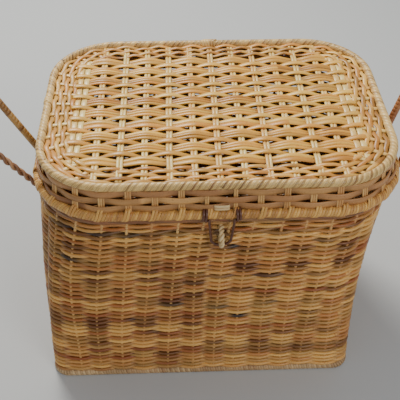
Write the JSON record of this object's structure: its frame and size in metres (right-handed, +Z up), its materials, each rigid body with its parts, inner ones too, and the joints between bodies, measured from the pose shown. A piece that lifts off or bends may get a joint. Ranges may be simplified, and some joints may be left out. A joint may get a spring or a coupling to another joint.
{
  "type": "wicker storage trunk",
  "caption": "Woven cane storage trunk with a flat hinged lid, wrapped rims, a hanging hasp over a twisted eye and a hoop handle on each side.",
  "frame": {"origin": "centre of the foot rim on the floor", "axes": "+Z up, +X to the right along the longest side, the front with the hasp faces -Y"},
  "size_m": [0.8016, 0.4864, 0.5829],
  "materials": {
    "cane": "aged round cane, satin",
    "stake": "aged rod, satin",
    "core": "bare rod, matt",
    "rim_wrap": "split cane, satin skin",
    "border": "aged rod, satin",
    "strap": "dark glossy cane",
    "pale_cane": "pale peeled cane",
    "lid_cane": "pale flat cane, satin",
    "handle_cane": "wrapped cane, worn satin"
  },
  "bodies": {
    "trunk": {"foot_rim_core": "core", "foot_rim_wrap": "rim_wrap", "floor_weave": "cane", "floor_stakes": "stake", "stakes_front": "stake", "stakes_rear": "stake", "stakes_left": "stake", "stakes_right": "stake", "wall_weave": "cane", "border_core": "core", "border_rods": "border", "hinge_loop_left": "strap", "hinge_loop_right": "strap", "catch_eye": "pale_cane", "holder_left_front": "strap", "holder_left_rear": "strap", "holder_right_front": "strap", "holder_right_rear": "strap"},
    "lid": {"lid_weave": "lid_cane", "lid_edge_weave": "lid_cane", "lid_stakes": "lid_cane", "lid_top_rim_core": "core", "lid_top_rim_wrap": "rim_wrap", "lid_skirt_weave": "cane", "lid_skirt_stakes": "stake", "lid_lower_rim_core": "core", "lid_lower_rim_wrap": "rim_wrap", "rim_splice_binding": "rim_wrap", "rim_tie": "rim_wrap", "skirt_keeper": "pale_cane"},
    "hasp": {"hasp_loop": "strap"},
    "handle_left": {"handle_left_rod": "core", "handle_left_wrap": "handle_cane", "handle_left_twist": "handle_cane"},
    "handle_right": {"handle_right_rod": "core", "handle_right_wrap": "handle_cane", "handle_right_twist": "handle_cane"}
  },
  "joints": [
    {"name": "lid_hinge", "type": "hinge", "parent": "trunk", "child": "lid", "pos_m": [0, 0.22475, 0.4377], "axis": [-1, 0, 0], "range_deg": [0, 105]},
    {"name": "hasp_swing", "type": "hinge", "parent": "lid", "child": "hasp", "pos_m": [0.029, -0.22475, 0.4377], "axis": [-1, 0, 0], "range_deg": [0, 110]},
    {"name": "handle_left_pivot", "type": "hinge", "parent": "trunk", "child": "handle_left", "pos_m": [-0.283, -0.043, 0.387], "axis": [0, -1, 0], "range_deg": [-20, 135]},
    {"name": "handle_right_pivot", "type": "hinge", "parent": "trunk", "child": "handle_right", "pos_m": [0.331, -0.043, 0.387], "axis": [0, 1, 0], "range_deg": [0, 157]}
  ]
}
